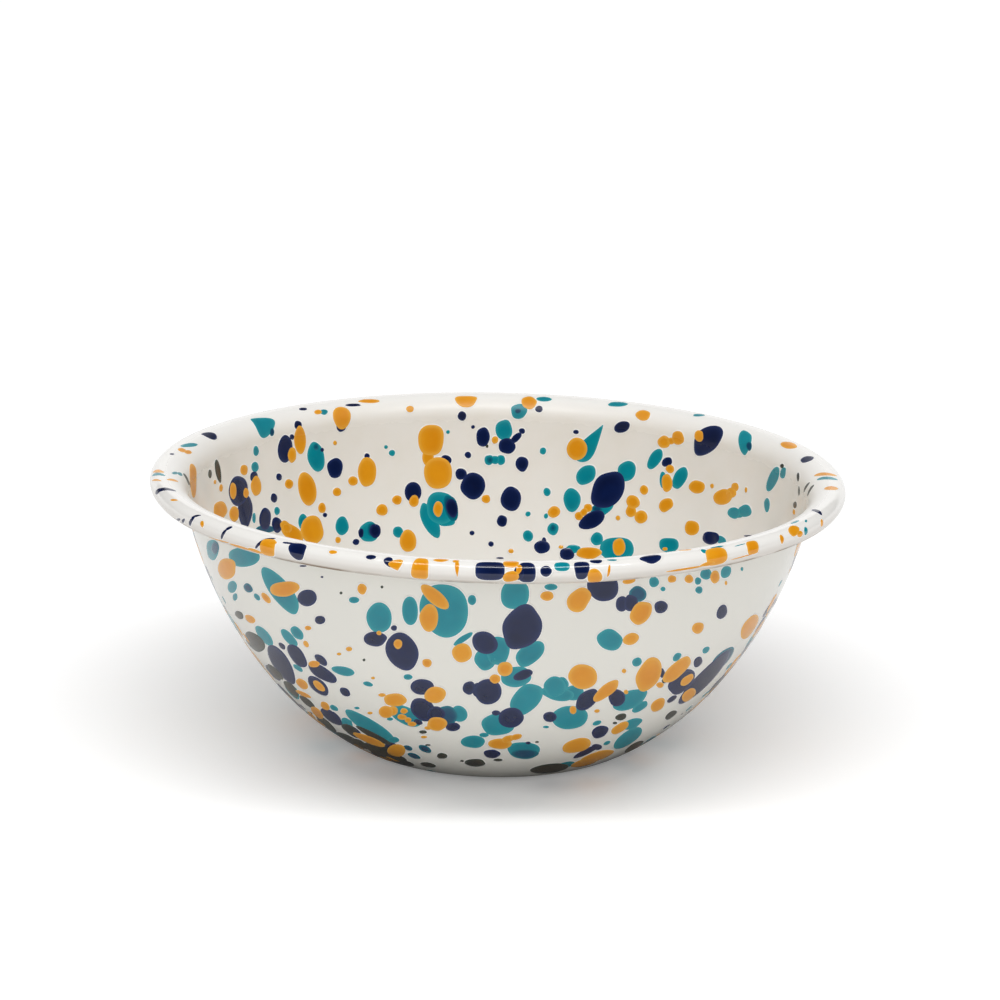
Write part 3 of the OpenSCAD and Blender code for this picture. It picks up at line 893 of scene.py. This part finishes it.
def calculate(tree, operation, *values):
    """One sum of the node kind Math. A value is a socket or a plain number."""
    node = tree.nodes.new("ShaderNodeMath")
    node.operation = operation
    for socket, value in zip(node.inputs, values):
        link(tree, value, socket)
    return node.outputs[0]


def new_material(name):
    """A material with its nodes and its shader."""
    material = bpy.data.materials.new(name)
    material.use_nodes = True
    return material, material.node_tree, material.node_tree.nodes["Principled BSDF"]


# %% Node group: fired enamel
DRIFT_SCALE, DRIFT_DETAIL, DRIFT_FROM, DRIFT_TO = 90.0, 3.0, 0.35, 0.68
DUST_SCALE, DUST_DETAIL, DUST_FROM, DUST_TO, DUST_DULLNESS = 260.0, 4.0, 0.3, 0.75, 0.07
WAVE_SCALE, PEEL_SCALE, WAVE_DETAIL, PEEL_SHARE = 55.0, 420.0, 1.0, 0.12
LIP_BEND_FROM, LIP_BEND_TO = 0.088, 0.094
LIP_DULLNESS = 0.24
# How many millimetres before the middle of the roll the soft gloss starts to end, and has ended
SOFT_UNTIL, GLOSSY_FROM = 3, 1
GROUP_SOCKETS = (
    ("INPUT", "Color", "Colour"), ("INPUT", "Color", "Drift colour"), ("INPUT", "Float", "Drift"),
    ("INPUT", "Float", "Gloss roughness"), ("OUTPUT", "Color", "Colour"),
    ("OUTPUT", "Float", "Roughness"), ("OUTPUT", "Float", "Height"))


def fired_enamel_group():
    group = bpy.data.node_groups.new("fired_enamel", "ShaderNodeTree")
    for way, kind, name in GROUP_SOCKETS:
        group.interface.new_socket(name=name, in_out=way, socket_type="NodeSocket" + kind)
    given = group.nodes.new("NodeGroupInput")
    result = group.nodes.new("NodeGroupOutput")
    coords = object_place(group)
    drift = remap(group, noise(group, coords, DRIFT_SCALE, DRIFT_DETAIL), DRIFT_FROM, DRIFT_TO)
    share = calculate(group, "MULTIPLY", drift, given.outputs["Drift"])
    colour = mix_colour(group, share, given.outputs["Colour"], given.outputs["Drift colour"])
    link(group, colour, result.inputs["Colour"])
    specks = noise(group, coords, DUST_SCALE, DUST_DETAIL)
    dust = remap(group, specks, DUST_FROM, DUST_TO, 0.0, DUST_DULLNESS)
    high_up = remap(group, height_of(group, coords), LIP_BEND_FROM, LIP_BEND_TO, 0.0, LIP_DULLNESS)
    soft_until, glossy_from = (roll_c.x - SOFT_UNTIL) * MM, (roll_c.x - GLOSSY_FROM) * MM
    before_roll = remap(group, distance_from_axis(group, coords), soft_until, glossy_from, 1.0, 0.0)
    rough = calculate(group, "MULTIPLY_ADD", high_up, before_roll, given.outputs["Gloss roughness"])
    link(group, calculate(group, "ADD", dust, rough), result.inputs["Roughness"])
    waves = noise(group, coords, WAVE_SCALE, WAVE_DETAIL)
    peel = noise(group, coords, PEEL_SCALE, WAVE_DETAIL)
    link(group, calculate(group, "MULTIPLY_ADD", peel, PEEL_SHARE, waves), result.inputs["Height"])
    return group


fired_enamel = fired_enamel_group()
print("group sockets:", len(fired_enamel.interface.items_tree))

# %% [markdown]
# Each finish is a Principled shader fed by that group. Enamel is glass over metal, so it isn't
# metallic, and its reflections come from its index of refraction alone. Colours are written as they
# look in the photograph, and turned into the linear values that the renderer works in.
# %% One enamel
def linear(red, green, blue):
    """Linear colour from the 0 to 255 values of a screen colour, by the sRGB standard's curve."""
    channels = [c / 255 for c in (red, green, blue)]
    return tuple(c / 12.92 if c <= 0.04045 else ((c + 0.055) / 1.055) ** 2.4 for c in channels) + (1.0,)


WAVE_HEIGHT = 0.00012
GLASS_IOR = 1.5


def enamel(name, colour, drift_colour, drift, roughness, edge_colour):
    """A glossy enamel. With an edge colour, the pigment thins towards a drop's edge."""
    material, tree, shader = new_material(name)
    look = tree.nodes.new("ShaderNodeGroup")
    look.node_tree = fired_enamel
    look.inputs["Colour"].default_value = linear(*colour)
    look.inputs["Drift colour"].default_value = linear(*drift_colour)
    look.inputs["Drift"].default_value = drift
    look.inputs["Gloss roughness"].default_value = roughness
    shown = look.outputs["Colour"]
    if edge_colour:
        shown = mix_colour(tree, attribute(tree, "pool"), linear(*edge_colour), shown)
    link(tree, shown, shader.inputs["Base Color"])
    link(tree, look.outputs["Roughness"], shader.inputs["Roughness"])
    bump = tree.nodes.new("ShaderNodeBump")
    bump.inputs["Strength"].default_value = 1.0
    bump.inputs["Distance"].default_value = WAVE_HEIGHT
    link(tree, look.outputs["Height"], bump.inputs["Height"])
    link(tree, bump.outputs["Normal"], shader.inputs["Normal"])
    shader.inputs["IOR"].default_value = GLASS_IOR
    return material


print("waves in the gloss:", round(WAVE_HEIGHT / MM, 2), "mm high")

# %% [markdown]
# The cream is made warmer inside, cooler outside and paler low down. The lip and the top of the roll get a
# painted highlight, whiter than the cream, and the roll's underside gets a painted shade. Under the roll a
# broken brown line is painted, partly shade in the seam and partly the dark ground where the coat is thin.
#
# These are areas of one coat, so they are masks in one material rather than pieces of their own. Each
# mask comes from the height, the distance from the axis, or the face that the skin has there.
# %% Areas of the cream coat
COOL_CREAM = linear(234, 232, 224)
LOW_CREAM = linear(240, 238, 232)
COOL_BELOW, WARM_ABOVE = 0.03, 0.08
LIP_HIGHLIGHT_WHITE = linear(239, 237, 233)
ROLL_HIGHLIGHT_WHITE, ROLL_SHADE = linear(236, 234, 230), linear(222, 216, 208)
LIP_HIGHLIGHT_FROM, LIP_HIGHLIGHT_TO = 0.0935, 0.1
# Millimetres before the middle of the roll where its painted highlight starts, and where it is full
ROLL_FROM, ROLL_FULL = 1.5, 1.0
SHADE_AND_GROUND_BROWN = linear(118, 96, 70)
# Metres over the roll's lowest point at which the brown has ended, and up to which it is full
BROWN_END = 0.0017
BROWN_FULL = 0.6 * BROWN_END
BROWN_SCALE, BROWN_DETAIL, BROWN_FROM, BROWN_TO = 45.0, 3.0, 0.42, 0.58
LEAST_BROWN, MOST_BROWN = 0.15, 0.85


def add_rim_look(material):
    """Cools the cream outside and low, paints highlight and shade on the rim, and a brown line of seam
    shade and bare ground.
    """
    tree = material.node_tree
    shader = tree.nodes["Principled BSDF"]
    shown = shader.inputs["Base Color"].links[0].from_socket
    place = object_place(tree)
    height, radius = height_of(tree, place), distance_from_axis(tree, place)
    shown = mix_colour(tree, remap(tree, height, COOL_BELOW, WARM_ABOVE, 1.0, 0.0), shown, LOW_CREAM)
    shown = mix_colour(tree, attribute(tree, "outer_face"), shown, COOL_CREAM)
    half = roll_r / 2
    over_roll = remap(tree, radius, (roll_c.x - half) * MM, (roll_c.x + half) * MM)
    low_to_high = remap(tree, height, (roll_c.y - half) * MM, (roll_c.y + half) * MM)
    # Painted light on the roll: its top is painted whiter as a highlight, and its underside darker as a
    # shade
    rolled = mix_colour(tree, low_to_high, ROLL_SHADE, ROLL_HIGHLIGHT_WHITE)
    white = mix_colour(tree, over_roll, LIP_HIGHLIGHT_WHITE, rolled)
    on_roll = remap(tree, radius, (roll_c.x - ROLL_FROM) * MM, (roll_c.x - ROLL_FULL) * MM)
    # The top of the lip is painted whiter too, as a painted highlight
    on_lip = remap(tree, height, LIP_HIGHLIGHT_FROM, LIP_HIGHLIGHT_TO)
    shown = mix_colour(tree, calculate(tree, "MAXIMUM", on_lip, on_roll), shown, white)
    # Painted shade: a broken brown line in the seam under the roll, partly shade there and partly the dark
    # ground where the coat is thin. It is made rough, so that the gloss doesn't hide it.
    roll_base = (roll_c.y - roll_r) * MM
    low = remap(tree, height, roll_base + BROWN_FULL, roll_base + BROWN_END, 1.0, 0.0)
    patches = noise(tree, place, BROWN_SCALE, BROWN_DETAIL)
    patchy = remap(tree, patches, BROWN_FROM, BROWN_TO, LEAST_BROWN, MOST_BROWN)
    shade_and_thin_coat = calculate(tree, "MULTIPLY", calculate(tree, "MULTIPLY", on_roll, low), patchy)
    link(tree, mix_colour(tree, shade_and_thin_coat, shown, SHADE_AND_GROUND_BROWN), shader.inputs["Base Color"])
    glossy = shader.inputs["Roughness"].links[0].from_socket
    link(tree, calculate(tree, "MAXIMUM", glossy, shade_and_thin_coat), shader.inputs["Roughness"])


print("brown line", round(BROWN_END / MM, 1), "mm wide under the roll")

# %% Mix the enamels
# Name, colour, colour it drifts to, share of drift, roughness, and the colour at a drop's edge
ENAMELS = {
    "cream": ("cream_enamel", (236, 231, 223), (232, 226, 215), 0.6, 0.1, None),
    "halo": ("pale_halo_enamel", (244, 242, 238), (241, 238, 233), 0.5, 0.1, None),
    "teal": ("teal_enamel", (0, 136, 150), (0, 116, 132), 0.7, 0.1, (40, 152, 160)),
    "deep teal": ("deep_teal_enamel", (8, 74, 106), (4, 50, 84), 0.8, 0.1, (4, 116, 132)),
    "navy": ("navy_enamel", (10, 26, 70), (6, 17, 50), 0.7, 0.1, (32, 46, 92)),
    "moss": ("moss_enamel", (34, 37, 36), (72, 58, 34), 0.8, 0.1, (66, 76, 66)),
    "mustard": ("mustard_enamel", (228, 152, 20), (216, 134, 8), 0.7, 0.1, (232, 170, 62)),
    "ground": ("dark_ground_enamel", (34, 36, 42), (26, 28, 32), 0.5, 0.2, None),
}
FINISH = {use: enamel(*recipe) for use, recipe in ENAMELS.items()}
add_rim_look(FINISH["cream"])
print("enamels:", sorted(FINISH))

# %% Bare steel, and a finish on every piece
STEEL_LIGHT, STEEL_DARK = linear(150, 152, 155), linear(126, 127, 130)
MARK_SCALE, MARK_DETAIL, MARK_FROM, MARK_TO = 900.0, 6.0, 0.3, 0.7
STEEL_SHINIEST, STEEL_DULLEST = 0.35, 0.5


def pressed_steel():
    """Bare low-carbon sheet, as it is inside the roll: dull, with faint marks from forming."""
    material, tree, shader = new_material("pressed_steel")
    marks = remap(tree, noise(tree, object_place(tree), MARK_SCALE, MARK_DETAIL), MARK_FROM, MARK_TO)
    link(tree, mix_colour(tree, marks, STEEL_LIGHT, STEEL_DARK), shader.inputs["Base Color"])
    link(tree, remap(tree, marks, 0.0, 1.0, STEEL_SHINIEST, STEEL_DULLEST), shader.inputs["Roughness"])
    shader.inputs["Metallic"].default_value = 1.0
    return material


FINISH["steel"] = pressed_steel()
cream_enamel.data.materials.append(FINISH["cream"])
for (colour, _), piece in pieces.items():
    piece.data.materials.append(FINISH[colour])
KEPT_NODES = {"steel_bowl": "steel", "ground_coat_inside": "ground", "ground_coat_outside": "ground"}
for name, finish in KEPT_NODES.items():
    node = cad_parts[name]
    node.data.materials.clear()
    node.data.materials.append(FINISH[finish])
print("CAD nodes with a finish:", list(KEPT_NODES))

# %% [markdown]
# The studio is a pale floor in a white room, lit by one long narrow strip lamp overhead.
#
# The photographed bowl tells where its light came from. The thin bright line along the front of the roll
# is a strip lamp, high up and a little towards the camera. The outside wall has a faint white haze,
# which is the white table mirrored in the gloss, while the drops inside are deep: there the gloss mirrors
# a dark studio. So a dark drape hangs round and over the camera, and closes overhead. Only reflections
# meet it, and it takes no light from the bowl.
#
# The room and the floor look white to the camera and in reflections through the Light Path node. The
# floor also has its own plain diffuse colour, so that it takes the bowl's shadow. Under the bowl that
# colour is darker to every ray but the camera's, because the low wall mirrors a deep shadow there.
# %% Floor
FLOOR_SIZE = 20.0
FLOOR_COLOUR = 0.93
FOOT_SHADE = 0.28
SHADE_FROM, SHADE_TO = 0.055, 0.12
CAMERA_NEAR_GLOW, FAR_GLOW = 0.16, 0.5
NEAR_REACH, FAR_REACH = 0.1, 1.3


def seen_directly(tree):
    """1 for rays that come from the camera, a reflection or a refraction, else 0."""
    ray = tree.nodes.new("ShaderNodeLightPath").outputs
    seen_or_mirrored = calculate(tree, "MAXIMUM", ray["Is Camera Ray"], ray["Is Glossy Ray"])
    return calculate(tree, "MAXIMUM", seen_or_mirrored, ray["Is Transmission Ray"])


corners = [Vector((x, y, 0)) * FLOOR_SIZE / 2 for x, y in ((-1, -1), (1, -1), (1, 1), (-1, 1))]
floor = make_object("studio_floor", corners, [(0, 1, 2, 3)])
floor_finish, tree, floor_shader = new_material("studio_floor")
floor_shader.inputs["Roughness"].default_value = 1.0
floor_shader.inputs["Specular IOR Level"].default_value = 0.0
floor_shader.inputs["Emission Color"].default_value = (1, 1, 1, 1)
distance = distance_from_axis(tree, object_place(tree))
by_camera = tree.nodes.new("ShaderNodeLightPath").outputs["Is Camera Ray"]
shade = remap(tree, distance, SHADE_FROM, SHADE_TO, FOOT_SHADE, FLOOR_COLOUR)
camera_colour = remap(tree, by_camera, 0.0, 1.0, 0.0, FLOOR_COLOUR)
link(tree, calculate(tree, "MAXIMUM", shade, camera_colour), floor_shader.inputs["Base Color"])
spread = remap(tree, distance, NEAR_REACH, FAR_REACH, 0.0, FAR_GLOW)
link(tree, remap(tree, by_camera, 0.0, 1.0, 0.0, CAMERA_NEAR_GLOW), spread.node.inputs["To Min"])
glow = calculate(tree, "MULTIPLY", spread, seen_directly(tree))
link(tree, glow, floor_shader.inputs["Emission Strength"])
floor.data.materials.append(floor_finish)
print("floor", FLOOR_SIZE, "m wide")

# %% Room
ROOM_LIGHT = 0.56
world = bpy.data.worlds.new("white_room")
bpy.context.scene.world = world
world.use_nodes = True
tree = world.node_tree
background = tree.nodes["Background"]
background.inputs["Color"].default_value = (1, 1, 1, 1)
link(tree, remap(tree, seen_directly(tree), 0.0, 1.0, ROOM_LIGHT, 1.0), background.inputs["Strength"])
print("room light:", ROOM_LIGHT)

# %% Strip lamp overhead, and a soft fill from the front
STRIP_PLACE, STRIP_SIZE, STRIP_POWER = Vector((0.04, -0.62, 1.5)), (1.7, 0.18), 14.2
FILL_PLACE, FILL_SIZE, FILL_POWER = Vector((-0.15, -1.5, 0.6)), (1.0, 0.8), 1.7


def area_lamp(name, place, size, power):
    """A rectangular lamp aimed at the middle of the bowl."""
    lamp_data = bpy.data.lights.new(name, "AREA")
    lamp_data.shape = "RECTANGLE"
    lamp_data.size, lamp_data.size_y = size
    lamp_data.energy = power
    lamp = bpy.data.objects.new(name, lamp_data)
    bpy.context.scene.collection.objects.link(lamp)
    way = Vector((0, 0, bowl_h / 2)) - place
    lamp.matrix_world = Matrix.Translation(place) @ way.to_track_quat("-Z", "Y").to_matrix().to_4x4()
    return lamp


strip_lamp = area_lamp("strip_lamp", STRIP_PLACE, STRIP_SIZE, STRIP_POWER)
front_fill = area_lamp("front_fill", FILL_PLACE, FILL_SIZE, FILL_POWER)
front_fill.visible_glossy = False
bpy.context.scene.view_settings.view_transform = "Standard"
print("lamps:", strip_lamp.name, front_fill.name)

# %% Dark drape round the camera
DRAPE_R = 3.0
DRAPE_LOW, DRAPE_HIGH = math.radians(5), math.radians(86)
DRAPE_SIDE = math.radians(140)
DRAPE_CLOSED = math.radians(35)
DRAPE_COLS, DRAPE_ROWS = 32, 12
DRAPE_COLOUR = (0.02, 0.02, 0.02, 1)


def drape_point(col, row):
    """A point of the drape, which is a patch of a sphere round the bowl."""
    up = DRAPE_LOW + (DRAPE_HIGH - DRAPE_LOW) * row / DRAPE_ROWS
    drawn = min(1, (up - DRAPE_LOW) / (DRAPE_CLOSED - DRAPE_LOW))
    reach_round = DRAPE_SIDE + (math.pi - DRAPE_SIDE) * drawn
    side = reach_round * (2 * col / DRAPE_COLS - 1)
    return Vector((math.sin(side) * math.cos(up), -math.cos(side) * math.cos(up), math.sin(up))) * DRAPE_R


drape_points = [drape_point(col, row) for row in range(DRAPE_ROWS + 1) for col in range(DRAPE_COLS + 1)]
drape_faces = []
for row in range(DRAPE_ROWS):
    for col in range(DRAPE_COLS):
        a = row * (DRAPE_COLS + 1) + col
        drape_faces.append((a, a + 1, a + DRAPE_COLS + 2, a + DRAPE_COLS + 1))
drape = make_object("dark_drape", drape_points, drape_faces)
drape_finish, _, drape_shader = new_material("dark_drape")
drape_shader.inputs["Base Color"].default_value = DRAPE_COLOUR
drape_shader.inputs["Roughness"].default_value = 1.0
drape.data.materials.append(drape_finish)
drape.visible_camera = False
drape.visible_diffuse = False
drape.visible_shadow = False
print("stage:", floor.name, drape.name)

# %% Print the CAD box
print("CAD box", [[round(v / MM, 2) for v in c] for c in cad_box])
